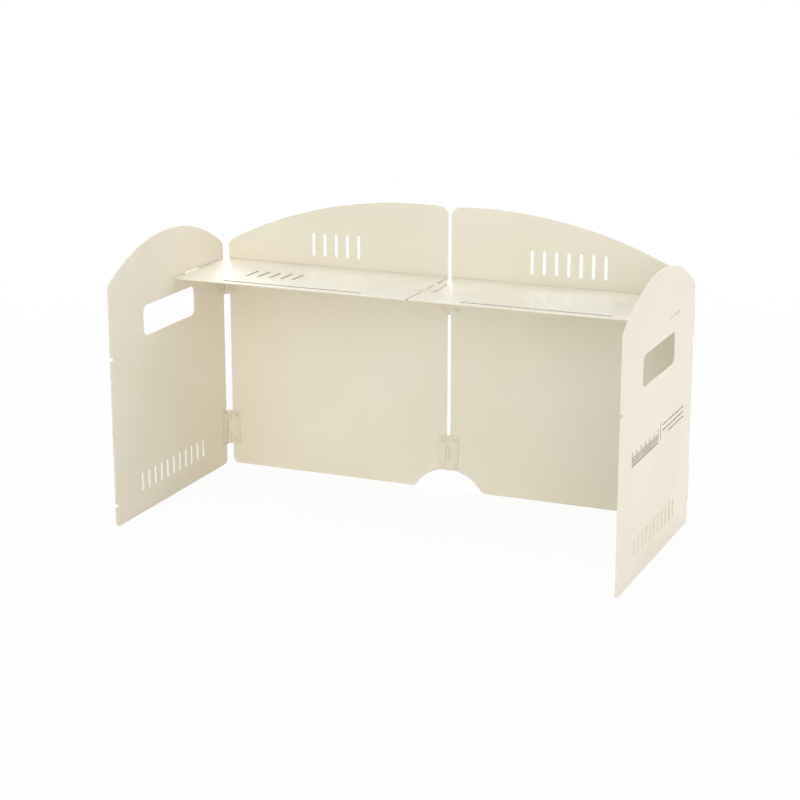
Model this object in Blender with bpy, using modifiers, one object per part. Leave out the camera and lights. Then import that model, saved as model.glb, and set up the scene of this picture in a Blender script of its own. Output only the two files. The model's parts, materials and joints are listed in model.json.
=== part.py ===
# Folding windscreen for a camping stove, in powder-coated sheet steel.
# Two back panels and two wings stand on Z = 0, joined by barrel hinges and open towards -Y.
# A shelf in two halves rests on the upper hinges, hooks into the wings with end tabs and
# locks at the middle with a tongue in a socket. Metres, +Z up.
import math

import bmesh
import bpy
from mathutils import Matrix, Vector

# Sheet and width
INNER_WIDTH = 0.520            # between the inner faces of the open wings
SHEET = 0.0012                 # steel sheet of panels, wings and shelf
FOOT_RADIUS = 0.006            # lower corners of panels and wings
ARC_TOLERANCE = 0.00005        # how far a facet may leave its true arc
MERGE_DISTANCE = 0.000001      # points nearer than this are one

# Hinges and rivets
LEAF = 0.0008                  # sheet of the hinge leaves
LEAF_GAP = 0.0003              # between a leaf, a rivet head or a set head and what it lies on
LEAF_FROM_AXIS = 0.00035       # from the barrel axis to the leaf's near face, also the seam of the roll
LEAF_COVER = 0.009             # how far a leaf reaches over its panel
LEAF_CORNER = 0.0025           # of its two free corners
LEAF_CORNER_STEPS = 4
PIN_RADIUS = 0.0010
PIN_CLEARANCE = 0.0003         # between pin and rolled knuckle, all round
PIN_CHAMFER = 0.0002
HINGE_LENGTH = 0.038
KNUCKLE_GAP = 0.0003           # between one knuckle and the next
KNUCKLE_CLEARANCE = 0.0004     # between a knuckle and the other leaf or a panel beside it
LOWER_HINGE_FOOT = 0.022
RIVET_SPACING = 0.028
RIVET_INSET = 0.005            # from the panel's edge
RIVET_RADIUS = 0.00125
RIVET_CLEARANCE = 0.0003
RIVET_HEAD_RADIUS = 0.0023
RIVET_HEAD_HEIGHT = 0.0010
SET_HEAD_RADIUS = 0.0018
SET_HEAD_HEIGHT = 0.0005
ROUND_STEPS = 12
DOME_STEPS = 3

# Shelf
SHELF_HEIGHT = 0.2288          # underside above the ground
SHELF_DEPTH = 0.1145
SHELF_END_GAP = 0.0010         # to each wing
SHELF_BACK_GAP = 0.0005        # to the back panels
SHELF_REST_GAP = 0.0003        # above the upper hinges
SHELF_CORNER = 0.003
SLIT_WIDTH = 0.004
SLIT_MARGIN = 0.052            # from a slit's ends to the wing's face and to the middle
SLIT_SETBACK = 0.0095          # from the front edge
TAB_WIDTH = 0.026
TAB_SETBACK = 0.026            # from the front edge
TAB_REACH = 0.0005             # past the wing's outer face
TAB_CORNER = 0.0008
TAB_SIDE_CLEARANCE = 0.002     # in the wing's tab slot, each side
TAB_SLOT_HEIGHT = 0.0027       # lets the shelf tilt by 25 degrees
TAB_SLOT_RADIUS = 0.001

# Seam between the shelf halves
SEAM_GAP = 0.0013
TONGUE_SETBACK = 0.0335        # from the back edge
TONGUE_WIDTH = 0.035
TONGUE_REACH = 0.012           # past the middle, into the socket
TONGUE_CORNER = 0.006
RELIEF_WIDTH = 0.006           # round-ended reliefs at the roots of tongue and socket
RELIEF_CORNER = 0.0024
RELIEF_REACH = 0.010           # of the left half's relief, from the middle
SOCKET_RELIEF_REACH = 0.003    # of the right half's relief, past the socket's end
SOCKET_RELIEF_START = 0.004    # from the socket's end back towards the middle
SEAM_CORNER = 0.0015
ROOT_SLIT_LENGTH = 0.018
ROOT_SLIT_WIDTH = 0.0016

# Wings
WING_LENGTH = 0.240
WING_SHOULDER = 0.0182         # where the arch starts, above the shelf's underside
WING_ARCH_RISE = 0.036
WING_TOP_RADIUS = 0.007
HAND_SLOT_LENGTH = 0.107
HAND_SLOT_HEIGHT = 0.031
HAND_SLOT_RADIUS = 0.007
HAND_SLOT_DROP = 0.015         # from the tab slot's lower edge down to the hand slot
NICK_DEPTH = 0.006
NICK_HEIGHT = 0.003
NICK_CORNER = 0.001            # at its inner end
NICK_DROP = 0.0015             # how much lower a nick's inner end lies
LOWER_NICK = 0.021             # height of its mouth
UPPER_NICK = 0.172

# Back panels
BACK_ARCH_RADIUS = 0.470
BACK_ARCH_TOP = 0.0752         # above the shelf's underside
BACK_ARCH_OFFSET = 0.035       # from the middle to the top of each arch
BACK_INNER_RADIUS = 0.010
BACK_OUTER_RADIUS = 0.011
CORNER_CLEARANCE = 0.00125     # from the corner barrel to the back panel's end
WING_CLEARANCE = 0.00185       # from the corner barrel to the wing's rear edge
NOTCH_RADIUS = 0.044           # hose notch at the middle of the foot
NOTCH_HEIGHT = 0.022
NOTCH_FILLET = 0.004
NOTCH_INNER_CORNER = 0.001

# Rows of plain vent slots
VENT_WIDTH = 0.0036
VENT_PITCH = 0.0130
WING_VENT_LENGTH = 0.020
WING_VENT_FOOT = 0.022
WING_VENTS = 11
BACK_VENT_LENGTH = 0.025
BACK_VENT_ABOVE_SHELF = 0.0112
LEFT_BACK_VENTS = 5
RIGHT_BACK_VENTS = 7
SHELF_VENT_LENGTH = 0.028
SHELF_VENT_FROM_WING = 0.091
SHELF_VENT_SETBACK = 0.052     # from the front edge
SHELF_VENTS = 5

# Finishes: linear colour, roughness, metallic
IVORY_COAT = ((0.855, 0.791, 0.658), 0.45, 0.0)
PIN_STEEL = ((0.55, 0.54, 0.52), 0.35, 1.0)
SHADE_ANGLE = math.radians(35)     # edges that turn further are drawn sharp
CHAMFER_ANGLE = math.radians(60)   # edges of a pin that turn further are chamfered
AXIS_MARK = 0.02                   # size at which a joint axis is drawn

# Worked out from the sizes above
HALF_WIDTH = INNER_WIDTH / 2
BORE_RADIUS = PIN_RADIUS + PIN_CLEARANCE
KNUCKLE_RADIUS = BORE_RADIUS + LEAF
KNUCKLE_LENGTH = (HINGE_LENGTH - 2 * KNUCKLE_GAP) / 3
AXIS_OFFSET = LEAF_GAP + LEAF + LEAF_FROM_AXIS
MIDDLE_EDGE = math.sqrt((KNUCKLE_RADIUS + KNUCKLE_CLEARANCE) ** 2 - AXIS_OFFSET ** 2)
BACK_END_EDGE = KNUCKLE_RADIUS + CORNER_CLEARANCE
WING_EDGE = KNUCKLE_RADIUS + WING_CLEARANCE
RIVET_HOLE = RIVET_RADIUS + RIVET_CLEARANCE
LOWER_HINGE_MIDDLE = LOWER_HINGE_FOOT + HINGE_LENGTH / 2
UPPER_HINGE_MIDDLE = SHELF_HEIGHT - SHELF_REST_GAP - HINGE_LENGTH / 2
HINGE_MIDDLES = {"lower": LOWER_HINGE_MIDDLE, "upper": UPPER_HINGE_MIDDLE}

WING_REAR = AXIS_OFFSET + WING_EDGE
WING_FRONT = WING_REAR + WING_LENGTH
WING_SIDE_HEIGHT = SHELF_HEIGHT + WING_SHOULDER
BACK_END = HALF_WIDTH - AXIS_OFFSET - BACK_END_EDGE
BACK_TOP = SHELF_HEIGHT + BACK_ARCH_TOP
SHELF_FRONT = SHELF_BACK_GAP + SHELF_DEPTH
TAB_MIDDLE = SHELF_FRONT - TAB_SETBACK - TAB_WIDTH / 2
TAB_SLOT_FOOT = SHELF_HEIGHT - SHELF_REST_GAP

# The back panels' front face lies at FACE_Y, so that the origin is under the middle of the whole
REAR_REACH = SHEET + LEAF_GAP + SET_HEAD_HEIGHT
FACE_Y = (WING_FRONT - REAR_REACH) / 2

# Joint axes, each with the one that carries it
CORNER_X = HALF_WIDTH - AXIS_OFFSET
BARREL_Y = FACE_Y - AXIS_OFFSET
TAB_PIVOT_X = HALF_WIDTH + SHEET
AXES = {
    "left_wing_axis": (None, (-CORNER_X, BARREL_Y, 0)),
    "back_axis": (None, (0, BARREL_Y, 0)),
    "right_wing_axis": ("back_axis", (CORNER_X, BARREL_Y, 0)),
    "left_shelf_axis": (None, (-TAB_PIVOT_X, FACE_Y - TAB_MIDDLE, SHELF_HEIGHT)),
    "right_shelf_axis": ("back_axis", (TAB_PIVOT_X, FACE_Y - TAB_MIDDLE, SHELF_HEIGHT)),
}


def clear_scene():
    for item in list(bpy.data.objects):
        bpy.data.objects.remove(item, do_unlink=True)


def new_collection(name):
    collection = bpy.data.collections.new(name)
    bpy.context.scene.collection.children.link(collection)
    return collection


def new_material(name, finish):
    colour, roughness, metallic = finish
    material = bpy.data.materials.new(name)
    material.use_nodes = True
    shader = material.node_tree.nodes["Principled BSDF"]
    shader.inputs["Base Color"].default_value = (*colour, 1)
    shader.inputs["Roughness"].default_value = roughness
    shader.inputs["Metallic"].default_value = metallic
    return material


# Outlines in a plane: an outline is a list of (x, y) points

def arc(centre, radius, start, end):
    step = 2 * math.acos(1 - min(ARC_TOLERANCE / radius, 0.5))
    count = max(2, math.ceil(abs(end - start) / step))
    angles = [start + (end - start) * index / count for index in range(count + 1)]
    return [(centre[0] + radius * math.cos(angle), centre[1] + radius * math.sin(angle)) for angle in angles]


def circle(centre, radius):
    return arc(centre, radius, 0, 2 * math.pi)[:-1]


def round_corner(before, corner, after, radius):
    to_before = (Vector(before) - Vector(corner)).normalized()
    to_after = (Vector(after) - Vector(corner)).normalized()
    half_angle = to_before.angle(to_after) / 2
    centre = Vector(corner) + (to_before + to_after).normalized() * (radius / math.sin(half_angle))
    start_point = Vector(corner) + to_before * (radius / math.tan(half_angle)) - centre
    end_point = Vector(corner) + to_after * (radius / math.tan(half_angle)) - centre
    start = math.atan2(start_point.y, start_point.x)
    turn = math.atan2(end_point.y, end_point.x) - start
    turn = (turn + math.pi) % (2 * math.pi) - math.pi
    return arc(centre, radius, start, start + turn)


def rounded(corners):
    """Closed outline of (x, y, radius) corners, where radius 0 keeps the point as it is."""
    points = []
    for index, (x, y, radius) in enumerate(corners):
        before = corners[index - 1][:2]
        after = corners[(index + 1) % len(corners)][:2]
        points += round_corner(before, (x, y), after, radius) if radius else [(x, y)]
    return points


def plain(points):
    return [(x, y, 0) for x, y in points]


def box_outline(middle, width, height, radius):
    x, y = middle
    signs = ((-1, -1), (1, -1), (1, 1), (-1, 1))
    return rounded([(x + sx * width / 2, y + sy * height / 2, radius) for sx, sy in signs])


def upright_slot(middle, length, width):
    x, y = middle
    run = (length - width) / 2
    top = arc((x, y + run), width / 2, 0, math.pi)
    bottom = arc((x, y - run), width / 2, math.pi, 2 * math.pi)
    return top + bottom


def flat_slot(middle, length, width):
    return [(middle[0] - y, middle[1] + x) for x, y in upright_slot((0, 0), length, width)]


def vent_row(middle, count, length):
    first = middle[0] - (count - 1) * VENT_PITCH / 2
    middles = [(first + index * VENT_PITCH, middle[1]) for index in range(count)]
    return [upright_slot(slot_middle, length, VENT_WIDTH) for slot_middle in middles]


def arched_top(centre, radius, low_x, high_x, low_radius, high_radius):
    """Arch from its high x side over to its low x side, blended into both upright edges."""
    ends = []
    for x, blend in ((high_x - high_radius, high_radius), (low_x + low_radius, low_radius)):
        z = centre[1] + math.sqrt((radius - blend) ** 2 - (x - centre[0]) ** 2)
        ends.append(((x, z), blend, math.atan2(z - centre[1], x - centre[0])))
    (high, high_blend, start), (low, low_blend, end) = ends
    front = arc(high, high_blend, 0, start)
    rear = arc(low, low_blend, end, math.pi)
    return front[:-1] + arc(centre, radius, start, end) + rear[1:]


def rivet_holes(x):
    heights = [middle + side * RIVET_SPACING / 2 for middle in HINGE_MIDDLES.values() for side in (-1, 1)]
    return [circle((x, z), RIVET_HOLE) for z in heights]


def mirrored(loops):
    return [[(-x, y) for x, y in loop] for loop in loops]


# Flat parts: a filled curve, extruded and welded into a closed mesh

def weld(mesh):
    body = bmesh.new()
    body.from_mesh(mesh)
    bmesh.ops.remove_doubles(body, verts=body.verts, dist=MERGE_DISTANCE)
    bmesh.ops.recalc_face_normals(body, faces=body.faces)
    body.to_mesh(mesh)
    body.free()


def flat_part(name, loops, thickness, material, collection):
    curve = bpy.data.curves.new(name, "CURVE")
    curve.dimensions = "2D"
    curve.fill_mode = "BOTH"
    curve.extrude = thickness / 2
    for loop in loops:
        spline = curve.splines.new("POLY")
        spline.points.add(len(loop) - 1)
        for point, (x, y) in zip(spline.points, loop):
            point.co = (x, y, 0, 1)
        spline.use_cyclic_u = True
    drawn = bpy.data.objects.new(name + "_drawn", curve)
    collection.objects.link(drawn)
    evaluated = drawn.evaluated_get(bpy.context.evaluated_depsgraph_get())
    mesh = bpy.data.meshes.new_from_object(evaluated)
    bpy.data.objects.remove(drawn, do_unlink=True)
    bpy.data.curves.remove(curve)
    weld(mesh)
    mesh.name = name
    mesh.materials.clear()
    mesh.materials.append(material)
    mesh.shade_smooth()
    mesh.set_sharp_from_angle(angle=SHADE_ANGLE)
    part = bpy.data.objects.new(name, mesh)
    collection.objects.link(part)
    return part


def place(part, position, turn=(0, 0, 0), axis=None):
    """Put a part at a place in the world, carried by a joint axis or by the ground."""
    part.rotation_euler = turn
    if axis:
        part.parent = bpy.data.objects[axis]
        position = Vector(position) - Vector(AXES[axis][1])
    part.location = position


def make_axes(collection):
    for name, (carrier, position) in AXES.items():
        empty = bpy.data.objects.new(name, None)
        empty.empty_display_size = AXIS_MARK
        collection.objects.link(empty)
        place(empty, position, axis=carrier)


# Wings: x forward from the back panels' face, y up

def wing_outline():
    nicks = []
    for mouth in (LOWER_NICK, UPPER_NICK):
        inner_x = WING_FRONT - NICK_DEPTH
        nicks += [
            (WING_FRONT, mouth, 0),
            (inner_x, mouth - NICK_DROP, NICK_CORNER),
            (inner_x, mouth - NICK_DROP + NICK_HEIGHT, NICK_CORNER),
            (WING_FRONT, mouth + NICK_HEIGHT, 0),
        ]
    half = WING_LENGTH / 2
    radius = (half ** 2 + WING_ARCH_RISE ** 2) / (2 * WING_ARCH_RISE)
    centre = (WING_REAR + half, WING_SIDE_HEIGHT + WING_ARCH_RISE - radius)
    top = arched_top(centre, radius, WING_REAR, WING_FRONT, WING_TOP_RADIUS, WING_TOP_RADIUS)
    feet = [(WING_REAR, 0, FOOT_RADIUS), (WING_FRONT, 0, FOOT_RADIUS)]
    return rounded(feet + nicks + plain(top))


def wing_loops():
    middle = WING_REAR + WING_LENGTH / 2
    hand_slot_z = TAB_SLOT_FOOT - HAND_SLOT_DROP - HAND_SLOT_HEIGHT / 2
    tab_slot_z = TAB_SLOT_FOOT + TAB_SLOT_HEIGHT / 2
    tab_slot_length = TAB_WIDTH + 2 * TAB_SIDE_CLEARANCE
    vent_z = WING_VENT_FOOT + WING_VENT_LENGTH / 2
    return [
        wing_outline(),
        box_outline((middle, hand_slot_z), HAND_SLOT_LENGTH, HAND_SLOT_HEIGHT, HAND_SLOT_RADIUS),
        box_outline((TAB_MIDDLE, tab_slot_z), tab_slot_length, TAB_SLOT_HEIGHT, TAB_SLOT_RADIUS),
        *vent_row((middle, vent_z), WING_VENTS, WING_VENT_LENGTH),
        *rivet_holes(WING_REAR + RIVET_INSET),
    ]


def make_wings(coat, collection):
    for side, name in ((-1, "left"), (1, "right")):
        wing = flat_part(name + "_wing_panel", wing_loops(), SHEET, coat, collection)
        middle_x = side * (HALF_WIDTH + SHEET / 2)
        place(wing, (middle_x, FACE_Y, 0), (math.pi / 2, 0, -math.pi / 2), name + "_wing_axis")


# Back panels: x outward from the middle, y up

def back_outline():
    notch_centre = (0, NOTCH_HEIGHT - NOTCH_RADIUS)
    notch_top = math.acos(MIDDLE_EDGE / NOTCH_RADIUS)
    fillet_x = math.sqrt((NOTCH_RADIUS + NOTCH_FILLET) ** 2 - (NOTCH_FILLET - notch_centre[1]) ** 2)
    notch_end = math.atan2(NOTCH_FILLET - notch_centre[1], fillet_x)
    notch = arc(notch_centre, NOTCH_RADIUS, notch_top, notch_end)
    fillet = arc((fillet_x, NOTCH_FILLET), NOTCH_FILLET, notch_end + math.pi, 1.5 * math.pi)
    arch_centre = (BACK_ARCH_OFFSET, BACK_TOP - BACK_ARCH_RADIUS)
    top = arched_top(arch_centre, BACK_ARCH_RADIUS, MIDDLE_EDGE, BACK_END,
                     BACK_INNER_RADIUS, BACK_OUTER_RADIUS)
    inner_corner = [(*notch[0], NOTCH_INNER_CORNER)]
    return rounded(inner_corner + plain(notch[1:-1] + fillet) + [(BACK_END, 0, FOOT_RADIUS)] + plain(top))


def back_loops(vents):
    middle = (MIDDLE_EDGE + BACK_END) / 2
    vent_z = SHELF_HEIGHT + BACK_VENT_ABOVE_SHELF + BACK_VENT_LENGTH / 2
    return [
        back_outline(),
        *vent_row((middle, vent_z), vents, BACK_VENT_LENGTH),
        *rivet_holes(MIDDLE_EDGE + RIVET_INSET),
        *rivet_holes(BACK_END - RIVET_INSET),
    ]


def make_back_panels(coat, collection):
    left = flat_part("left_back_panel", mirrored(back_loops(LEFT_BACK_VENTS)), SHEET, coat, collection)
    right = flat_part("right_back_panel", back_loops(RIGHT_BACK_VENTS), SHEET, coat, collection)
    for panel, axis in ((left, None), (right, "back_axis")):
        place(panel, (0, FACE_Y + SHEET / 2, 0), (math.pi / 2, 0, 0), axis)


# Shelf halves, seen from above: x to the right, y back, from the middle of the back panels' face

def end_edge(side):
    """Front to back along a half's outer end, with the tab that hooks into the wing."""
    end = side * (HALF_WIDTH - SHELF_END_GAP)
    tip = side * (HALF_WIDTH + SHEET + TAB_REACH)
    tab_front = -TAB_MIDDLE - TAB_WIDTH / 2
    tab_back = tab_front + TAB_WIDTH
    return [
        (end, -SHELF_FRONT, SHELF_CORNER),
        (end, tab_front, 0),
        (tip, tab_front, TAB_CORNER),
        (tip, tab_back, TAB_CORNER),
        (end, tab_back, 0),
        (end, -SHELF_BACK_GAP, SHELF_CORNER),
    ]


def left_seam():
    """Back to front along the left half's seam: the tongue, then the relief at its root."""
    edge = -SEAM_GAP / 2
    tip = TONGUE_REACH - SEAM_GAP / 2
    back = -SHELF_BACK_GAP - TONGUE_SETBACK - SEAM_GAP / 2
    front = back - TONGUE_WIDTH + SEAM_GAP
    return [
        (edge, -SHELF_BACK_GAP, SHELF_CORNER),
        (edge, back, SEAM_CORNER),
        (tip, back, TONGUE_CORNER),
        (tip, front, TONGUE_CORNER),
        (-RELIEF_REACH, front, RELIEF_CORNER),
        (-RELIEF_REACH, front - RELIEF_WIDTH, RELIEF_CORNER),
        (edge, front - RELIEF_WIDTH, SEAM_CORNER),
        (edge, -SHELF_FRONT, SEAM_CORNER),
    ]


def right_seam():
    """Front to back along the right half's seam: the socket, with the relief in its front corner."""
    edge = SEAM_GAP / 2
    end = TONGUE_REACH + SEAM_GAP / 2
    back = -SHELF_BACK_GAP - TONGUE_SETBACK + SEAM_GAP / 2
    front = back - TONGUE_WIDTH - SEAM_GAP
    relief_front = front - RELIEF_WIDTH / 2
    return [
        (edge, -SHELF_FRONT, SEAM_CORNER),
        (edge, front, SEAM_CORNER),
        (end - SOCKET_RELIEF_START, front, 0),
        (end - SOCKET_RELIEF_START, relief_front, RELIEF_CORNER),
        (end + SOCKET_RELIEF_REACH, relief_front, RELIEF_CORNER),
        (end + SOCKET_RELIEF_REACH, relief_front + RELIEF_WIDTH, RELIEF_CORNER),
        (end, relief_front + RELIEF_WIDTH, 0),
        (end, back, TONGUE_CORNER),
        (edge, back, SEAM_CORNER),
        (edge, -SHELF_BACK_GAP, SHELF_CORNER),
    ]


def front_slit(side):
    length = HALF_WIDTH - 2 * SLIT_MARGIN
    return flat_slot((side * HALF_WIDTH / 2, -SHELF_FRONT + SLIT_SETBACK), length, SLIT_WIDTH)


def make_shelf(coat, collection):
    tongue_middle = -SHELF_BACK_GAP - TONGUE_SETBACK - TONGUE_WIDTH / 2
    root_slit = upright_slot((0, tongue_middle), ROOT_SLIT_LENGTH, ROOT_SLIT_WIDTH)
    vent_middle = (-HALF_WIDTH + SHELF_VENT_FROM_WING, -SHELF_FRONT + SHELF_VENT_SETBACK)
    vents = vent_row(vent_middle, SHELF_VENTS, SHELF_VENT_LENGTH)
    left_loops = [rounded(end_edge(-1) + left_seam()), front_slit(-1), root_slit, *vents]
    right_loops = [rounded(right_seam() + end_edge(1)[::-1]), front_slit(1)]
    for name, loops in (("left", left_loops), ("right", right_loops)):
        half = flat_part(name + "_shelf", loops, SHEET, coat, collection)
        place(half, (0, FACE_Y, SHELF_HEIGHT + SHEET / 2), axis=name + "_shelf_axis")


# Hinges: a leaf is drawn with x away from the barrel axis and y towards its panel

def rolled_section(reach, side):
    """Section of a leaf whose edge is rolled round the pin and stops short of the leaf's own face."""
    near = LEAF_FROM_AXIS
    far = near + LEAF
    outer = arc((0, 0), KNUCKLE_RADIUS, math.asin(far / KNUCKLE_RADIUS), 2 * math.pi)
    inner = arc((0, 0), BORE_RADIUS, 2 * math.pi, math.asin(near / BORE_RADIUS))
    section = [(reach, far)] + outer + inner + [(reach, near)]
    return [(x, y * side) for x, y in section]


def add_box(body, low, high):
    low, high = Vector(low), Vector(high)
    shape = Matrix.Translation((low + high) / 2) @ Matrix.Diagonal((*(high - low), 1))
    bmesh.ops.create_cube(body, size=1, matrix=shape)


def add_corner(body, reach, end):
    """The waste outside one rounded free corner of a leaf, at its far edge and its upper or lower end."""
    x, z = reach - LEAF_CORNER, HINGE_LENGTH / 2 - LEAF_CORNER
    past_x, past_z = reach + LEAF_CORNER, HINGE_LENGTH / 2 + LEAF_CORNER
    turns = [math.pi / 2 * step / LEAF_CORNER_STEPS for step in range(LEAF_CORNER_STEPS + 1)]
    points = [(x + LEAF_CORNER * math.cos(turn), z + LEAF_CORNER * math.sin(turn)) for turn in turns]
    points += [(x, past_z), (past_x, past_z), (past_x, z)]
    rim = [body.verts.new((px, -KNUCKLE_RADIUS, pz * end)) for px, pz in points]
    grown = bmesh.ops.extrude_face_region(body, geom=[body.faces.new(rim)])
    moved = [item for item in grown["geom"] if isinstance(item, bmesh.types.BMVert)]
    bmesh.ops.translate(body, verts=moved, vec=(0, 2 * KNUCKLE_RADIUS, 0))


def leaf_cutter(name, edge, middle_knuckle, collection):
    """What is cut from a leaf: room for the other leaf's knuckles, rivet holes and rounded corners."""
    body = bmesh.new()
    clear = KNUCKLE_RADIUS + KNUCKLE_CLEARANCE
    past_end = HINGE_LENGTH
    half_knuckle = KNUCKLE_LENGTH / 2
    if middle_knuckle:
        add_box(body, (-past_end, -past_end, half_knuckle), (clear, past_end, past_end))
        add_box(body, (-past_end, -past_end, -past_end), (clear, past_end, -half_knuckle))
    else:
        half_room = half_knuckle + KNUCKLE_GAP
        add_box(body, (-past_end, -past_end, -half_room), (clear, past_end, half_room))
    for side in (-1, 1):
        hole = Matrix.Translation((edge + RIVET_INSET, 0, side * RIVET_SPACING / 2))
        hole = hole @ Matrix.Rotation(math.pi / 2, 4, "X")
        bmesh.ops.create_cone(body, cap_ends=True, segments=ROUND_STEPS, radius1=RIVET_HOLE,
                              radius2=RIVET_HOLE, depth=HINGE_LENGTH / 2, matrix=hole)
        add_corner(body, edge + LEAF_COVER, side)
    bmesh.ops.recalc_face_normals(body, faces=body.faces)
    mesh = bpy.data.meshes.new(name)
    body.to_mesh(mesh)
    body.free()
    cutter = bpy.data.objects.new(name, mesh)
    cutter.hide_render = True
    cutter.display_type = "WIRE"
    collection.objects.link(cutter)
    return cutter


def make_leaf(name, barrel, heading, side, edge, middle_knuckle, axis, coat, parts, cutters):
    section = [rolled_section(edge + LEAF_COVER, side)]
    leaf = flat_part(name, section, HINGE_LENGTH, coat, parts)
    cutter = leaf_cutter(name + "_cutter", edge, middle_knuckle, cutters)
    cutter.parent = leaf
    cut = leaf.modifiers.new("Knuckle room and rivet holes", "BOOLEAN")
    cut.operation = "DIFFERENCE"
    cut.solver = "EXACT"
    cut.object = cutter
    place(leaf, barrel, (0, 0, heading), axis)


def make_pin(name, barrel, axis, steel, collection):
    body = bmesh.new()
    bmesh.ops.create_cone(body, cap_ends=True, segments=ROUND_STEPS, radius1=PIN_RADIUS,
                          radius2=PIN_RADIUS, depth=HINGE_LENGTH)
    mesh = bpy.data.meshes.new(name)
    body.to_mesh(mesh)
    body.free()
    mesh.materials.append(steel)
    mesh.shade_smooth()
    mesh.set_sharp_from_angle(angle=SHADE_ANGLE)
    pin = bpy.data.objects.new(name, mesh)
    collection.objects.link(pin)
    chamfer = pin.modifiers.new("End chamfer", "BEVEL")
    chamfer.width = PIN_CHAMFER
    chamfer.segments = 1
    chamfer.limit_method = "ANGLE"
    chamfer.angle_limit = CHAMFER_ANGLE
    place(pin, barrel, axis=axis)


def rivet_profile():
    """Half section down the outer side, z = 0 at the panel's inner face and the domed head above it."""
    seat = 2 * LEAF_GAP + LEAF
    sphere = (RIVET_HEAD_RADIUS ** 2 + RIVET_HEAD_HEIGHT ** 2) / (2 * RIVET_HEAD_HEIGHT)
    centre = (0, seat + RIVET_HEAD_HEIGHT - sphere)
    rim = math.asin((seat - centre[1]) / sphere)
    dome = [math.pi / 2 + (rim - math.pi / 2) * index / DOME_STEPS for index in range(DOME_STEPS + 1)]
    set_seat = -SHEET - LEAF_GAP
    points = [(sphere * math.cos(angle), centre[1] + sphere * math.sin(angle)) for angle in dome]
    points[0] = (0, seat + RIVET_HEAD_HEIGHT)
    points += [
        (RIVET_RADIUS, seat),
        (RIVET_RADIUS, set_seat),
        (SET_HEAD_RADIUS, set_seat),
        (SET_HEAD_RADIUS - SET_HEAD_HEIGHT / 2, set_seat - SET_HEAD_HEIGHT),
        (0, set_seat - SET_HEAD_HEIGHT),
    ]
    return points


def rivet_mesh(coat):
    body = bmesh.new()
    rim = [body.verts.new((x, 0, z)) for x, z in rivet_profile()]
    for upper, lower in zip(rim, rim[1:]):
        body.edges.new((upper, lower))
    mesh = bpy.data.meshes.new("rivet")
    body.to_mesh(mesh)
    body.free()
    mesh.materials.append(coat)
    return mesh


def make_rivet(name, mesh, position, turn, axis, collection):
    rivet = bpy.data.objects.new(name, mesh)
    collection.objects.link(rivet)
    turned = rivet.modifiers.new("Turned", "SCREW")
    turned.steps = ROUND_STEPS
    turned.render_steps = ROUND_STEPS
    turned.use_merge_vertices = True
    turned.merge_threshold = MERGE_DISTANCE
    place(rivet, position, turn, axis)


def make_hinges(coat, steel, parts, cutters):
    """Every hinge has two leaves, each with its heading, panel side, panel edge, kind and carrier."""
    forward = -math.pi / 2
    hinges = {
        "left": (-CORNER_X, None, (
            ("back", 0, 1, BACK_END_EDGE, False, None),
            ("wing", forward, -1, WING_EDGE, True, "left_wing_axis"),
        )),
        "middle": (0, None, (
            ("left", math.pi, -1, MIDDLE_EDGE, False, None),
            ("right", 0, 1, MIDDLE_EDGE, True, "back_axis"),
        )),
        "right": (CORNER_X, "back_axis", (
            ("back", math.pi, -1, BACK_END_EDGE, False, "back_axis"),
            ("wing", forward, 1, WING_EDGE, True, "right_wing_axis"),
        )),
    }
    rivet = rivet_mesh(coat)
    for where, (barrel_x, pin_axis, leaves) in hinges.items():
        for level, z in HINGE_MIDDLES.items():
            barrel = (barrel_x, BARREL_Y, z)
            make_pin(f"{where}_{level}_pin", barrel, pin_axis, steel, parts)
            for kind, heading, side, edge, middle_knuckle, axis in leaves:
                name = f"{where}_{level}_{kind}"
                make_leaf(name + "_leaf", barrel, heading, side, edge, middle_knuckle, axis,
                          coat, parts, cutters)
                outward = Vector((math.cos(heading), math.sin(heading), 0))
                to_panel = Vector((-math.sin(heading), math.cos(heading), 0)) * side
                seat = Vector(barrel) + outward * (edge + RIVET_INSET) + to_panel * AXIS_OFFSET
                turn = (-to_panel).to_track_quat("Z", "Y").to_euler()
                for step, level_name in ((-1, "low"), (1, "high")):
                    position = seat + Vector((0, 0, step * RIVET_SPACING / 2))
                    make_rivet(f"{name}_rivet_{level_name}", rivet, position, turn, axis, parts)


def build():
    clear_scene()
    parts = new_collection("camping_windscreen")
    cutters = new_collection("cutters")
    coat = new_material("ivory_powder_coat", IVORY_COAT)
    steel = new_material("pin_steel", PIN_STEEL)
    make_axes(parts)
    make_wings(coat, parts)
    make_back_panels(coat, parts)
    make_shelf(coat, parts)
    make_hinges(coat, steel, parts, cutters)
    bpy.context.view_layer.update()


build()
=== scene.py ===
import json
import math

import bmesh
import bpy
from mathutils import Matrix, Vector
from mathutils.bvhtree import BVHTree


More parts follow.
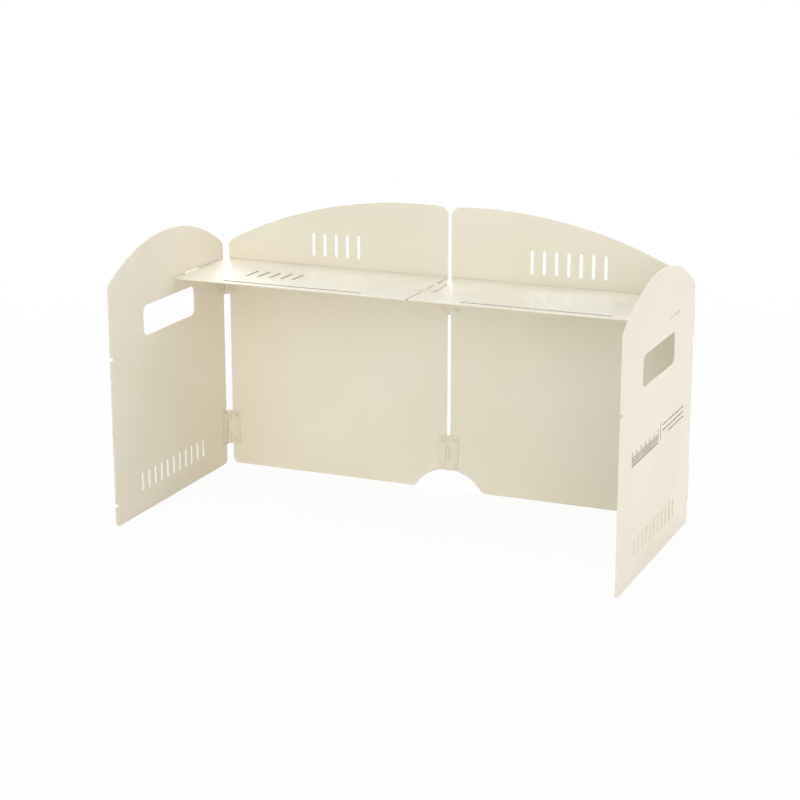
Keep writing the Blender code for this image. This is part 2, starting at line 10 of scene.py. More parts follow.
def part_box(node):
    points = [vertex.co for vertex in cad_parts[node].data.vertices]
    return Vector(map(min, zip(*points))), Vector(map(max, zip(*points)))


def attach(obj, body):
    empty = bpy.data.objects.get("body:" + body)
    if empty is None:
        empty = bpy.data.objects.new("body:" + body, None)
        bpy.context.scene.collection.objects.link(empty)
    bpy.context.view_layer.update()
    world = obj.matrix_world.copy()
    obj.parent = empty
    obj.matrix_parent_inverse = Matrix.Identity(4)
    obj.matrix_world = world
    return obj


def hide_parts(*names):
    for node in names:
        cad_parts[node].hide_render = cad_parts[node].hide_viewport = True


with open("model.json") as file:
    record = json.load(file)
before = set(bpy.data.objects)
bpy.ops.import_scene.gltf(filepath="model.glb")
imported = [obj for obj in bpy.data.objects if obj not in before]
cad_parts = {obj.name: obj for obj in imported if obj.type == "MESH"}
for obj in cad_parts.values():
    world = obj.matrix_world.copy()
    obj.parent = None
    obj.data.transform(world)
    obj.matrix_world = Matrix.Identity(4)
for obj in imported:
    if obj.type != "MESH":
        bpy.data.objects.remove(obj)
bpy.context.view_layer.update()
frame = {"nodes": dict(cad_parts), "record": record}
scene = bpy.context.scene
nodes = frame["nodes"]
bodies = frame["record"]["behaviour"]["bodies"]
bodyOf = {node: body for body, members in bodies.items() for node in members}
mm = 0.001

# camera, as the windscreen was photographed: from the right of the open front, looking a little down
camera = {
    "place": (0.7734, -1.8397, 0.6793),
    "turn": 22.91,        # degrees to the right of straight ahead
    "tilt": 15.41,        # degrees down
    "lens": 93.83,
    "sensor": 36.0,
    "sees": (0.05, 50),   # nearest and farthest, in metres
}


def makeCamera():
    data = bpy.data.cameras.new("studioCamera")
    data.lens = camera["lens"]
    data.sensor_width = camera["sensor"]
    data.clip_start, data.clip_end = camera["sees"]
    eye = bpy.data.objects.new("studioCamera", data)
    scene.collection.objects.link(eye)
    eye.location = camera["place"]
    eye.rotation_euler = (math.radians(90 - camera["tilt"]), 0, math.radians(camera["turn"]))
    scene.camera = eye
    print("camera placed")


# shader nodes: a number is set on its socket, and anything else is linked to it
def mathNode(tree, operation, first, second, clamp=False):
    node = tree.nodes.new("ShaderNodeMath")
    node.operation = operation
    node.use_clamp = clamp
    for socket, value in zip(node.inputs, (first, second)):
        if isinstance(value, (int, float)):
            socket.default_value = value
        else:
            tree.links.new(value, socket)
    return node.outputs[0]


def noiseNode(tree, place, scale, detail, roughness=0.5):
    node = tree.nodes.new("ShaderNodeTexNoise")
    node.inputs["Detail"].default_value = detail
    node.inputs["Roughness"].default_value = roughness
    tree.links.new(place, node.inputs["Vector"])
    if isinstance(scale, (int, float)):
        node.inputs["Scale"].default_value = scale
    else:
        tree.links.new(scale, node.inputs["Scale"])
    return node.outputs["Fac"]


def mixColour(tree, share, first, second):
    node = tree.nodes.new("ShaderNodeMix")
    node.data_type = "RGBA"
    sockets = [node.inputs[index] for index in (0, 6, 7)]    # the share and the two colours
    for socket, value in zip(sockets, (share, first, second)):
        if isinstance(value, (int, float)):
            socket.default_value = value
        elif isinstance(value, tuple):
            socket.default_value = (*value, 1)
        else:
            tree.links.new(value, socket)
    return node.outputs[2]


def rangeNode(tree, value, source, target=(0.0, 1.0), blend="SMOOTHSTEP"):
    node = tree.nodes.new("ShaderNodeMapRange")
    node.interpolation_type = blend
    tree.links.new(value, node.inputs["Value"])
    for label, number in zip(("From Min", "From Max", "To Min", "To Max"), (*source, *target)):
        node.inputs[label].default_value = number
    return node.outputs["Result"]


# studio: pale floor, white surround and six large soft lamps
studio = {
    "floorSize": 60.0,
    "floorDrop": 0.05 * mm,      # keeps the floor clear of the feet that stand on it
    "floorColour": (0.95, 0.95, 0.94),
    "floorGlow": (0.92, 1.0),    # how far the camera sees the floor as plain white, near and far
    "glowReach": (0.45, 1.3),    # metres from the middle at which that starts and ends to grow
    "surroundColour": (1, 1, 1),
    "ambient": 0.22,             # what the white surround adds to the lamps' light
    "aim": (0, 0, 0.12),         # where the lamps point
    "lamps": {
        "sideLamp": {"place": (2.8, 0.5, 0.8), "size": 2.0, "power": 35, "colour": (0.97, 0.94, 1.0)},
        "highLamp": {"place": (-0.2, -2.2, 2.2), "size": 2.0, "power": 26, "colour": (0.91, 0.96, 1.0)},
        "rightLamp": {"place": (2.0, -2.2, 0.9), "size": 1.6, "power": 8, "colour": (0.98, 1.0, 0.96)},
        "lowLamp": {"place": (1.0, -2.8, 0.35), "size": 2.0, "power": 32, "colour": (1.0, 0.95, 0.90)},
        "topLamp": {"place": (-0.3, 0.5, 2.7), "size": 1.6, "power": 27, "colour": (0.90, 0.965, 1.0)},
        "backLamp": {"place": (-1.4, 2.4, 1.2), "size": 2.0, "power": 30, "colour": (0.97, 0.99, 1.0)},
    },
}


def makeFloor():
    mesh = bpy.data.meshes.new("paperFloor")
    sheet = bmesh.new()
    bmesh.ops.create_grid(sheet, x_segments=2, y_segments=2, size=studio["floorSize"] / 2)
    sheet.to_mesh(mesh)
    sheet.free()
    floor = bpy.data.objects.new("paperFloor", mesh)
    floor.location.z = -studio["floorDrop"]
    scene.collection.objects.link(floor)
    paper = bpy.data.materials.new("floorPaper")
    paper.use_nodes = True
    tree = paper.node_tree
    tree.nodes.clear()
    diffuse = tree.nodes.new("ShaderNodeBsdfDiffuse")
    diffuse.inputs["Color"].default_value = (*studio["floorColour"], 1)
    glow = tree.nodes.new("ShaderNodeEmission")
    path = tree.nodes.new("ShaderNodeLightPath")
    spot = tree.nodes.new("ShaderNodeTexCoord")
    away = tree.nodes.new("ShaderNodeVectorMath")
    away.operation = "LENGTH"
    tree.links.new(spot.outputs["Object"], away.inputs[0])
    grow = rangeNode(tree, away.outputs["Value"], studio["glowReach"], studio["floorGlow"], "LINEAR")
    mix = tree.nodes.new("ShaderNodeMixShader")
    out = tree.nodes.new("ShaderNodeOutputMaterial")
    tree.links.new(mathNode(tree, "MULTIPLY", path.outputs["Is Camera Ray"], grow), mix.inputs["Fac"])
    tree.links.new(diffuse.outputs[0], mix.inputs[1])
    tree.links.new(glow.outputs[0], mix.inputs[2])
    tree.links.new(mix.outputs[0], out.inputs["Surface"])
    mesh.materials.append(paper)
    print("floor laid")


def makeSurround():
    # plain white to the camera, in gloss and through glass, and dimmer as a light
    world = bpy.data.worlds.new("whiteSurround")
    world.use_nodes = True
    scene.world = world
    tree = world.node_tree
    tree.nodes.clear()
    path = tree.nodes.new("ShaderNodeLightPath")
    seen = mathNode(tree, "MAXIMUM", path.outputs["Is Camera Ray"], path.outputs["Is Glossy Ray"])
    seen = mathNode(tree, "MAXIMUM", seen, path.outputs["Is Transmission Ray"])
    strength = rangeNode(tree, seen, (0.0, 1.0), (studio["ambient"], 1.0), "LINEAR")
    sky = tree.nodes.new("ShaderNodeBackground")
    sky.inputs["Color"].default_value = (*studio["surroundColour"], 1)
    out = tree.nodes.new("ShaderNodeOutputWorld")
    tree.links.new(strength, sky.inputs["Strength"])
    tree.links.new(sky.outputs[0], out.inputs["Surface"])


def makeLamps():
    aim = Vector(studio["aim"])
    for name, values in studio["lamps"].items():
        data = bpy.data.lights.new(name, "AREA")
        data.size = values["size"]
        data.energy = values["power"]
        data.color = values["colour"]
        lamp = bpy.data.objects.new(name, data)
        lamp.location = values["place"]
        lamp.rotation_mode = "QUATERNION"
        lamp.rotation_quaternion = (aim - lamp.location).to_track_quat("-Z", "Y")
        scene.collection.objects.link(lamp)
    print("studio lit")


# shared effects, each a node group built once: a noise has its scale per metre, detail and roughness
effects = {
    "grain": {
        "pebbles": 900.0, "pebbleDetail": 2.0,
        "waves": 70.0, "waveDetail": 1.0, "waveHeight": 0.6,   # height against that of the pebbles
        "shades": 7.0, "shadeNoise": (3.0, 0.45), "shadeRange": (0.3, 0.7),
        "speckNoise": (2600.0, 0.0), "speckRange": (0.72, 0.8),
    },
    "rimWear": {"patchNoise": (45.0, 4.0, 0.6), "sharpness": 9.0, "amount": 0.3},
    "scuffs": {
        "lines": ((0.5, (26, 620, 26)), (-0.9, (540, 22, 40))),    # each way: radians and stretch
        "turnShare": 0.7,    # of that turn round the middle axis
        "lineNoise": (1.0, 1.0), "lineRange": (0.68, 0.74),
        "patchNoise": (14.0, 2.0), "patchRange": (0.48, 0.7), "amount": 0.5,
    },
    "dust": {
        "facingUp": (0.5, 1.0),
        "cloudNoise": (30.0, 5.0, 0.62), "cloudRange": (0.35, 0.75), "amount": 0.2,
    },
}


def newGroup(name, inputs, outputs):
    # inputs are numbers by name, beside the place that every effect has
    group = bpy.data.node_groups.new(name, "ShaderNodeTree")
    group.interface.new_socket(name="Place", in_out="INPUT", socket_type="NodeSocketVector")
    for label, value in inputs.items():
        socket = group.interface.new_socket(name=label, in_out="INPUT", socket_type="NodeSocketFloat")
        socket.default_value = value
    for label in outputs:
        group.interface.new_socket(name=label, in_out="OUTPUT", socket_type="NodeSocketFloat")
    start = group.nodes.new("NodeGroupInput")
    end = group.nodes.new("NodeGroupOutput")
    return group, start.outputs, end.inputs


def makePowderGrain():
    # fine pebbles of a powder coat, its slow waves, its large faint shades and rare specks
    values = effects["grain"]
    given = {"Pebbles": values["pebbles"], "Waves": values["waves"], "Shades": values["shades"]}
    group, start, end = newGroup("powderGrain", given, ("Height", "Shade", "Speck"))
    place = start["Place"]
    pebbles = noiseNode(group, place, start["Pebbles"], values["pebbleDetail"])
    waves = noiseNode(group, place, start["Waves"], values["waveDetail"])
    height = mathNode(group, "MULTIPLY_ADD", waves, values["waveHeight"])
    group.links.new(pebbles, height.node.inputs[2])
    shade = noiseNode(group, place, start["Shades"], *values["shadeNoise"])
    speck = noiseNode(group, place, *values["speckNoise"])
    group.links.new(height, end["Height"])
    group.links.new(rangeNode(group, shade, values["shadeRange"]), end["Shade"])
    group.links.new(rangeNode(group, speck, values["speckRange"]), end["Speck"])
    return group


def makeRimWear():
    # coat rubbed thin along the eased edges, in patches
    values = effects["rimWear"]
    group, start, end = newGroup("rimWear", {"Rim": 0.0, "Amount": values["amount"]}, ("Mask",))
    patches = noiseNode(group, start["Place"], *values["patchNoise"])
    limit = mathNode(group, "SUBTRACT", 1.0, start["Amount"])
    over = mathNode(group, "SUBTRACT", patches, limit)
    sharp = mathNode(group, "MULTIPLY", over, values["sharpness"], True)
    group.links.new(mathNode(group, "MULTIPLY", sharp, start["Rim"], True), end["Mask"])
    return group


def makeScuffs():
    # faint fine scratches in two directions, gathered in patches
    values = effects["scuffs"]
    group, start, end = newGroup("scuffs", {"Amount": values["amount"]}, ("Mask",))
    lines = []
    for turn, stretch in values["lines"]:
        mapping = group.nodes.new("ShaderNodeMapping")
        mapping.inputs["Rotation"].default_value = (turn, turn * values["turnShare"], turn)
        mapping.inputs["Scale"].default_value = stretch
        group.links.new(start["Place"], mapping.inputs["Vector"])
        noise = noiseNode(group, mapping.outputs["Vector"], *values["lineNoise"])
        lines.append(rangeNode(group, noise, values["lineRange"]))
    both = mathNode(group, "MAXIMUM", *lines)
    noise = noiseNode(group, start["Place"], *values["patchNoise"])
    patches = rangeNode(group, noise, values["patchRange"])
    gathered = mathNode(group, "MULTIPLY", both, patches)
    group.links.new(mathNode(group, "MULTIPLY", gathered, start["Amount"], True), end["Mask"])
    return group


def makeDust():
    # thin dust that settles on what faces up
    values = effects["dust"]
    group, start, end = newGroup("settledDust", {"Amount": values["amount"]}, ("Mask",))
    geometry = group.nodes.new("ShaderNodeNewGeometry")
    split = group.nodes.new("ShaderNodeSeparateXYZ")
    group.links.new(geometry.outputs["Normal"], split.inputs[0])
    up = rangeNode(group, split.outputs["Z"], values["facingUp"])
    noise = noiseNode(group, start["Place"], *values["cloudNoise"])
    cloud = rangeNode(group, noise, values["cloudRange"])
    lying = mathNode(group, "MULTIPLY", up, cloud)
    group.links.new(mathNode(group, "MULTIPLY", lying, start["Amount"], True), end["Mask"])
    return group


groups = {
    "grain": makePowderGrain(),
    "rimWear": makeRimWear(),
    "scuffs": makeScuffs(),
    "dust": makeDust(),
}
print("shared effects made")


# powder coats of the sheets, hinge leaves and rivets: linear colours
coats = {
    "sheetCoat": {
        "colour": (0.882, 0.826, 0.706), "shade": (0.846, 0.786, 0.655), "roughness": 0.42,
        "wear": 0.46, "scuffs": 0.45, "dust": 0.12, "bump": 0.90, "bumpDepth": 0.20 * mm,
    },
    "hingeCoat": {
        "colour": (0.866, 0.810, 0.692), "shade": (0.820, 0.756, 0.625), "roughness": 0.42,
        "wear": 0.52, "scuffs": 0.2, "dust": 0.05, "bump": 0.60, "bumpDepth": 0.10 * mm,
    },
    "rivetCoat": {
        "colour": (0.866, 0.810, 0.692), "shade": (0.800, 0.736, 0.605), "roughness": 0.38,
        "wear": 0.52, "scuffs": 0.2, "dust": 0.05, "bump": 0.30, "bumpDepth": 0.05 * mm,
    },
}

# what lies on every coat: colour, and the most of it that shows
marks = {
    "speckColour": (0.62, 0.56, 0.46), "speckShare": 0.10,
    "scuffColour": (0.90, 0.87, 0.80), "scuffShare": 0.22, "scuffDulls": 0.10,
    "dustColour": (0.700, 0.660, 0.590),
    "slitColour": (0.300, 0.250, 0.190), "slitShare": 0.55,    # painted shade on the walls of the shelf's narrow cuts, where shadow falls
    "wearColour": (0.560, 0.540, 0.500), "wearShare": 0.75,    # bare steel and primer at a rubbed edge
    "wearMetal": 0.5,
    "satin": (-0.03, 0.05),    # how far the roughness moves with the shade
}


def groupNode(tree, kind, place, **values):
    node = tree.nodes.new("ShaderNodeGroup")
    node.node_tree = groups[kind]
    tree.links.new(place, node.inputs["Place"])
    for label, value in values.items():
        socket = node.inputs[label]
        if isinstance(value, (int, float)):
            socket.default_value = value
        else:
            tree.links.new(value, socket)
    return node.outputs


def attributeNode(tree, name):
    node = tree.nodes.new("ShaderNodeAttribute")
    node.attribute_name = name
    return node.outputs["Fac"]


def newMaterial(name):
    material = bpy.data.materials.new(name)
    material.use_nodes = True
    tree = material.node_tree
    place = tree.nodes.new("ShaderNodeTexCoord").outputs["Object"]
    return material, tree, tree.nodes["Principled BSDF"], place


def bumpInto(tree, shader, height, strength, depth):
    bump = tree.nodes.new("ShaderNodeBump")
    bump.inputs["Strength"].default_value = strength
    bump.inputs["Distance"].default_value = depth
    tree.links.new(height, bump.inputs["Height"])
    tree.links.new(bump.outputs["Normal"], shader.inputs["Normal"])


def laidOver(tree, colour, mask, share, above):
    return mixColour(tree, mathNode(tree, "MULTIPLY", mask, share), colour, above)


def makeCoat(name):
    values = coats[name]
    material, tree, shader, place = newMaterial(name)
    grain = groupNode(tree, "grain", place)
    rim = attributeNode(tree, "rim")
    wear = groupNode(tree, "rimWear", place, Rim=rim, Amount=values["wear"])["Mask"]
    scuffs = groupNode(tree, "scuffs", place, Amount=values["scuffs"])["Mask"]
    dust = groupNode(tree, "dust", place, Amount=values["dust"])["Mask"]
    slit = attributeNode(tree, "slit")
    colour = mixColour(tree, grain["Shade"], values["colour"], values["shade"])
    colour = laidOver(tree, colour, grain["Speck"], marks["speckShare"], marks["speckColour"])
    colour = laidOver(tree, colour, scuffs, marks["scuffShare"], marks["scuffColour"])
    colour = mixColour(tree, dust, colour, marks["dustColour"])
    # painted shade: darkens the walls of the shelf's narrow cuts
    colour = laidOver(tree, colour, slit, marks["slitShare"], marks["slitColour"])
    colour = laidOver(tree, colour, wear, marks["wearShare"], marks["wearColour"])
    tree.links.new(colour, shader.inputs["Base Color"])
    glossy, matt = (values["roughness"] + change for change in marks["satin"])
    dull = mathNode(tree, "MULTIPLY_ADD", scuffs, marks["scuffDulls"])
    tree.links.new(rangeNode(tree, grain["Shade"], (0.0, 1.0), (glossy, matt)), dull.node.inputs[2])
    tree.links.new(dull, shader.inputs["Roughness"])
    tree.links.new(mathNode(tree, "MULTIPLY", wear, marks["wearMetal"]), shader.inputs["Metallic"])
    bumpInto(tree, shader, grain["Height"], values["bump"], values["bumpDepth"])
    return material


# drawn rod: fine rings turned on the pin, and haze in patches
pinSteel = {
    "clear": (0.60, 0.59, 0.565), "hazy": (0.43, 0.415, 0.39), "roughness": (0.28, 0.46),
    "hazeNoise": (240.0, 3.0), "hazeRange": (0.35, 0.7),
    "ringStretch": (300, 300, 5200), "ringNoise": (1.0, 2.0), "bump": 0.25, "bumpDepth": 0.02 * mm,
}


def makePinSteel():
    material, tree, shader, place = newMaterial("pinSteel")
    mapping = tree.nodes.new("ShaderNodeMapping")
    mapping.inputs["Scale"].default_value = pinSteel["ringStretch"]
    tree.links.new(place, mapping.inputs["Vector"])
    rings = noiseNode(tree, mapping.outputs["Vector"], *pinSteel["ringNoise"])
    haze = rangeNode(tree, noiseNode(tree, place, *pinSteel["hazeNoise"]), pinSteel["hazeRange"])
    colour = mixColour(tree, haze, pinSteel["clear"], pinSteel["hazy"])
    tree.links.new(colour, shader.inputs["Base Color"])
    shader.inputs["Metallic"].default_value = 1.0
    roughness = rangeNode(tree, haze, (0.0, 1.0), pinSteel["roughness"])
    tree.links.new(roughness, shader.inputs["Roughness"])
    bumpInto(tree, shader, rings, pinSteel["bump"], pinSteel["bumpDepth"])
    return material


# grey-brown screen print: lies a hair over the coat, worn in tiny gaps
printInk = {
    "colour": (0.165, 0.150, 0.130), "shade": (0.205, 0.185, 0.160), "roughness": 0.55,
    "gapNoise": (500.0, 3.0, 0.6), "gapRange": (0.55, 0.8), "gapShare": 0.55,
    "bump": 0.12, "bumpDepth": 0.04 * mm,
}


def makePrintInk():
    material, tree, shader, place = newMaterial("printInk")
    grain = groupNode(tree, "grain", place)
    noise = noiseNode(tree, place, *printInk["gapNoise"])
    gaps = rangeNode(tree, noise, printInk["gapRange"], (0.0, printInk["gapShare"]))
    colour = mixColour(tree, grain["Shade"], printInk["colour"], printInk["shade"])
    colour = mixColour(tree, gaps, colour, coats["sheetCoat"]["colour"])
    tree.links.new(colour, shader.inputs["Base Color"])
    shader.inputs["Roughness"].default_value = printInk["roughness"]
    bumpInto(tree, shader, grain["Height"], printInk["bump"], printInk["bumpDepth"])
    return material


materials = {name: makeCoat(name) for name in coats}
materials["pinSteel"] = makePinSteel()
materials["printInk"] = makePrintInk()
print("finishes made")


# pieces: each copy or new mesh lies where the CAD node it stands for lies
cleaning = {
    "weld": 0.002 * mm,    # points of a CAD mesh this near are one
    "flat": 0.5,           # degrees: faces that turn less lie in one plane
    "flush": 28,           # degrees: a plain edge that turns less is shaded smooth
}


def mergedCopy(node):
    mesh = bmesh.new()
    mesh.from_mesh(nodes[node].data)
    bmesh.ops.remove_doubles(mesh, verts=mesh.verts, dist=cleaning["weld"])
    flat = math.radians(cleaning["flat"])
    bmesh.ops.dissolve_limit(mesh, angle_limit=flat, verts=mesh.verts, edges=mesh.edges)
    manySided = [face for face in mesh.faces if len(face.verts) > 4]
    bmesh.ops.triangulate(mesh, faces=manySided)
    return mesh


def inCamel(node):
    first, *rest = node.split("_")
    return first + "".join(word.capitalize() for word in rest)


def newPiece(mesh, name, coat):
    data = bpy.data.meshes.new(name)
    mesh.to_mesh(data)
    mesh.free()
    data.materials.append(materials[coat])
    piece = bpy.data.objects.new(name, data)
    scene.collection.objects.link(piece)
    return piece


def finishPiece(mesh, name, coat, node):
    # node is the CAD solid that the piece stands for
    mesh.normal_update()
    piece = newPiece(mesh, name, coat)
    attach(piece, bodyOf[node])
    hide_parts(node)


def easeEdges(mesh, turn, ease, segments):
    # rounds every edge that turns more than the given angle, and marks the round as rim
    rim = mesh.verts.layers.float.new("rim")
    sharp = [edge for edge in mesh.edges if edge.calc_face_angle(0) > math.radians(turn)]
    made = bmesh.ops.bevel(
        mesh, geom=sharp, affect="EDGES", offset=ease, offset_type="OFFSET", segments=segments,
        profile=0.5, material=-1, clamp_overlap=True, loop_slide=True,
    )
    rounds = set(made["faces"])
    for face in mesh.faces:
        face.smooth = True
    for edge in mesh.edges:
        inside = [face in rounds for face in edge.link_faces]
        flush = not any(inside) and edge.calc_face_angle(0) < math.radians(cleaning["flush"])
        edge.smooth = all(inside) or flush
    for vert in mesh.verts:
        vert[rim] = 1.0 if all(face in rounds for face in vert.link_faces) else 0.0
    return rounds


sheets = {
    "ease": 0.22 * mm,
    "segments": 3,
    "turn": 60,             # degrees: only the two rims of a cut sheet turn so far
    # shelves whose narrow cuts get painted shade on their walls
    "dusty": ("left_shelf", "right_shelf"),
    "dustyCut": 4.5 * mm,   # a cut in a shelf up to this wide gets painted shade on its walls
    "wallLean": 0.2,        # most that a wall's normal rises
    "standOff": 0.05 * mm,  # distance from a wall at which the look across starts
    "pieces": {
        "left_back_panel": "leftBackSheet", "right_back_panel": "rightBackSheet",
        "left_wing_panel": "leftWingSheet", "right_wing_panel": "rightWingSheet",
        "left_shelf": "leftShelfSheet", "right_shelf": "rightShelfSheet",
    },
}


def shelfTrees():
    trees = []
    for node in sheets["dusty"]:
        mesh = mergedCopy(node)
        trees.append(BVHTree.FromBMesh(mesh))
        mesh.free()
    return trees


def markSlitShade(mesh, rounds, trees):
    # a wall of the cut outline that faces another wall close by is marked for painted shade
    slit = mesh.verts.layers.float.new("slit")
    mesh.normal_update()
    for face in mesh.faces:
        if face in rounds or abs(face.normal.z) > sheets["wallLean"]:
            continue
        start = face.calc_center_median() + face.normal * sheets["standOff"]
        if any(tree.ray_cast(start, face.normal, sheets["dustyCut"])[0] for tree in trees):
            for vert in face.verts:
                vert[slit] = 1.0


def makeSheets():
    trees = shelfTrees()
    for node, name in sheets["pieces"].items():
        mesh = mergedCopy(node)
        rounds = easeEdges(mesh, sheets["turn"], sheets["ease"], sheets["segments"])
        # the shelf's narrow cuts get painted shade on their walls
        if node in sheets["dusty"]:
            markSlitShade(mesh, rounds, trees)
        finishPiece(mesh, name, "sheetCoat", node)
    print("sheets eased and coated")


leaves = {
    "outerRadius": 2.1 * mm,
    "innerRadius": 1.3 * mm,
    "reach": 0.02 * mm,    # how near its radius an edge of the roll lies
    "level": 0.001 * mm,   # how far such an edge may rise
    "rounds": 1,           # times that the roll's facets are halved
    "ease": 0.10 * mm,
    "segments": 2,
    "turn": 50,            # degrees
}


def barrelOf(node):
    side, level = node.split("_")[:2]
    low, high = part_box(f"{side}_{level}_pin")
    return Vector(((low[0] + high[0]) / 2, (low[1] + high[1]) / 2))


def chordsOf(mesh, barrel, radii):
    # level edges whose two ends lie on one round of the roll
    chords = []
    for edge in mesh.edges:
        rise = abs(edge.verts[0].co.z - edge.verts[1].co.z)
        ends = [(vert.co.xy - barrel).length for vert in edge.verts]
        near = any(all(abs(end - radius) < leaves["reach"] for end in ends) for radius in radii)
        if rise < leaves["level"] and near:
            chords.append(edge)
    return chords


def roundRoll(mesh, barrel):
    # halves the facets of the rolled knuckles and moves the new points out to the true round
    radii = (leaves["innerRadius"], leaves["outerRadius"])
    for _ in range(leaves["rounds"]):
        chords = chordsOf(mesh, barrel, radii)
        made = bmesh.ops.subdivide_edges(mesh, edges=chords, cuts=1, use_grid_fill=True)
        for vert in {part for part in made["geom_inner"] if isinstance(part, bmesh.types.BMVert)}:
            out = vert.co.xy - barrel
            radius = min(radii, key=lambda value: abs(value - out.length))
            vert.co.xy = barrel + out.normalized() * radius


def makeLeaves():
    for node in nodes:
        if not node.endswith("_leaf"):
            continue
        mesh = mergedCopy(node)
        roundRoll(mesh, barrelOf(node))
        easeEdges(mesh, leaves["turn"], leaves["ease"], leaves["segments"])
        finishPiece(mesh, inCamel(node), "hingeCoat", node)
    print("hinge leaves rolled")


# turned pieces: radius and distance along the axis from the first end, in millimetres
turned = {
    "steps": 40,
    "weld": 0.001 * mm,
    "crease": 40,          # degrees: an edge that turns more stays crisp
    "rivet": (
        (0.0, 0.16), (0.42, 0.16), (0.60, 0.10), (0.74, 0.025), (0.95, 0.02), (1.20, 0.06), (1.55, 0.17),
        (1.85, 0.34), (2.08, 0.56), (2.22, 0.80), (2.28, 1.02), (2.26, 1.16), (2.18, 1.26), (2.04, 1.29),
        (1.25, 1.29), (1.25, 3.62), (1.62, 3.62), (1.74, 3.68), (1.80, 3.82), (1.80, 4.08), (1.72, 4.24),
        (1.56, 4.34), (1.34, 4.39), (1.12, 4.36), (0.96, 4.26), (0.88, 4.12), (0.82, 3.96), (0.60, 3.90),
        (0.0, 3.88),
    ),
    "rivetLength": 4.4,
    "rivetRim": 1.9,       # radius from which a rivet's head is fully rubbed
    "rivetRub": 0.25,      # share that the rest of it is rubbed
    "pin": (
        (0.0, 0.0), (0.46, 0.01), (0.68, 0.05), (0.83, 0.12), (0.93, 0.22), (0.985, 0.34), (1.0, 0.48),
    ),
}


def spinProfile(profile, length, closed):
    # turns the profile round z from the origin down to -length, in metres
    mesh = bmesh.new()
    points = [(radius * mm, 0, -place * mm) for radius, place in profile]
    if closed:
        points += [(x, 0, -length - z) for x, _, z in reversed(points)]
    verts = [mesh.verts.new(point) for point in points]
    edges = [mesh.edges.new(pair) for pair in zip(verts, verts[1:])]
    bmesh.ops.spin(mesh, geom=verts + edges, cent=(0, 0, 0), axis=(0, 0, 1), angle=math.tau,
                   steps=turned["steps"], use_merge=True)
    bmesh.ops.remove_doubles(mesh, verts=mesh.verts, dist=turned["weld"])
    bmesh.ops.recalc_face_normals(mesh, faces=mesh.faces)
    for face in mesh.faces:
        face.smooth = True
    for edge in mesh.edges:
        edge.smooth = edge.calc_face_angle(0) < math.radians(turned["crease"])
    return mesh


def rivetPlace(node):
    # where the top of the head lies and which way the head looks, into the windscreen or to its front
    low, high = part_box(node)
    middle = (Vector(low) + Vector(high)) / 2
    if "_wing_" not in node:
        return Vector((middle.x, low[1], middle.z)), Vector((0, -1, 0))
    if middle.x < 0:
        return Vector((high[0], middle.y, middle.z)), Vector((1, 0, 0))
    return Vector((low[0], middle.y, middle.z)), Vector((-1, 0, 0))


def makeRivets():
    for node in nodes:
        if "_rivet_" not in node:
            continue
        head, axis = rivetPlace(node)
        mesh = spinProfile(turned["rivet"], turned["rivetLength"] * mm, False)
        rim = mesh.verts.layers.float.new("rim")
        for vert in mesh.verts:
            vert[rim] = 1.0 if vert.co.xy.length > turned["rivetRim"] * mm else turned["rivetRub"]
        turn = Vector((0, 0, 1)).rotation_difference(axis).to_matrix().to_4x4()
        bmesh.ops.transform(mesh, matrix=Matrix.Translation(head) @ turn, verts=mesh.verts)
        finishPiece(mesh, inCamel(node), "rivetCoat", node)
    print("rivets set")


def makePins():
    for node in nodes:
        if not node.endswith("_pin"):
            continue
        low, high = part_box(node)
        mesh = spinProfile(turned["pin"], high[2] - low[2], True)
        top = Vector(((low[0] + high[0]) / 2, (low[1] + high[1]) / 2, high[2]))
        bmesh.ops.translate(mesh, vec=top, verts=mesh.verts)
        finishPiece(mesh, inCamel(node), "pinSteel", node)
    print("pins in")


# plain scale and dashes on the right wing's outer face: places in millimetres forward of the back
# panels' face and above the ground
scalePrint = {
    "face": 0.2612,        # the wing's outer face, in metres
    "backFace": 0.1217,    # the back panels' front face, in metres
    "sunk": 0.01 * mm,
    "raised": 0.04 * mm,
    "round": 0.28,         # share of a mark's smaller side
    "roundSegments": 3,
    "scale": {
        "start": 122.0, "pitch": 3.5, "count": 25, "foot": 117.0, "thick": 1.7,
        "short": 7.0, "long": 11.5, "longEvery": 4, "rule": 1.6,
    },
    "divider": (113.5, 124.0, 1.5, 17.0),    # forward, height, width, tall
    "dashes": {
        "start": 34.0, "ends": (107.0, 107.0, 88.0), "heights": (129.0, 123.5, 118.5),
        "thick": 1.5, "gap": 1.8, "lengths": (9.0, 5.0, 13.0, 7.0, 11.0, 4.0, 8.5, 6.0),
        "shift": 3,        # lengths that each line starts further on than the one above
    },
}


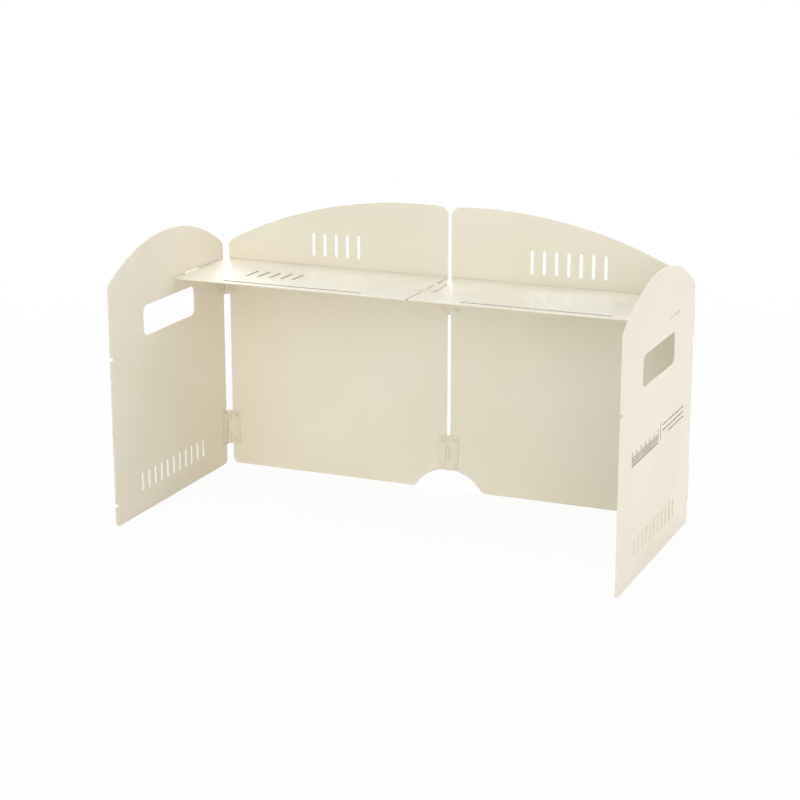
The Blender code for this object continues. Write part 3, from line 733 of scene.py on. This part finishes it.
def addMark(mesh, forward, height, width, tall):
    corners = bmesh.ops.create_grid(mesh, x_segments=1, y_segments=1, size=0.5)["verts"]
    depth = scalePrint["face"] - scalePrint["sunk"]
    middle = Vector((depth, scalePrint["backFace"] - forward * mm, height * mm))
    stand = Matrix(((0, 0, 1, 0), (1, 0, 0, 0), (0, 1, 0, 0), (0, 0, 0, 1)))
    shape = Matrix.Translation(middle) @ stand @ Matrix.Diagonal((width * mm, tall * mm, 1, 1))
    bmesh.ops.transform(mesh, matrix=shape, verts=corners)
    rounded = bmesh.ops.bevel(
        mesh, geom=corners, affect="VERTICES", offset=scalePrint["round"] * min(width, tall) * mm,
        segments=scalePrint["roundSegments"], profile=0.5, material=-1,
    )
    face = next(iter({part for vert in rounded["verts"] for part in vert.link_faces}))
    grown = bmesh.ops.extrude_face_region(mesh, geom=[face], use_keep_orig=True)
    tops = [part for part in grown["geom"] if isinstance(part, bmesh.types.BMVert)]
    bmesh.ops.translate(mesh, verts=tops, vec=(scalePrint["sunk"] + scalePrint["raised"], 0, 0))


def addScale(mesh):
    scale = scalePrint["scale"]
    run = scale["pitch"] * (scale["count"] - 1)
    foot, thick, rule = scale["foot"], scale["thick"], scale["rule"]
    for index in range(scale["count"]):
        tall = scale["long"] if index % scale["longEvery"] == 0 else scale["short"]
        addMark(mesh, scale["start"] + index * scale["pitch"], foot + tall / 2, thick, tall)
    addMark(mesh, scale["start"] + run / 2, foot - rule, run + thick, rule)


def addDashes(mesh):
    dashes = scalePrint["dashes"]
    lengths = dashes["lengths"]
    for line, (height, end) in enumerate(zip(dashes["heights"], dashes["ends"])):
        place, turn = dashes["start"], line * dashes["shift"]
        while place < end:
            length = min(lengths[turn % len(lengths)], end - place)
            if length > dashes["thick"]:
                addMark(mesh, place + length / 2, height, length, dashes["thick"])
            place += length + dashes["gap"]
            turn += 1


def makeScalePrint():
    mesh = bmesh.new()
    addScale(mesh)
    addMark(mesh, *scalePrint["divider"])
    addDashes(mesh)
    bmesh.ops.recalc_face_normals(mesh, faces=mesh.faces)
    piece = newPiece(mesh, "wingScalePrint", "printInk")
    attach(piece, "right_wing")
    print("scale printed")


makeCamera()
makeFloor()
makeSurround()
makeLamps()
makeSheets()
makeLeaves()
makeRivets()
makePins()
makeScalePrint()
scene.view_settings.view_transform = "Standard"
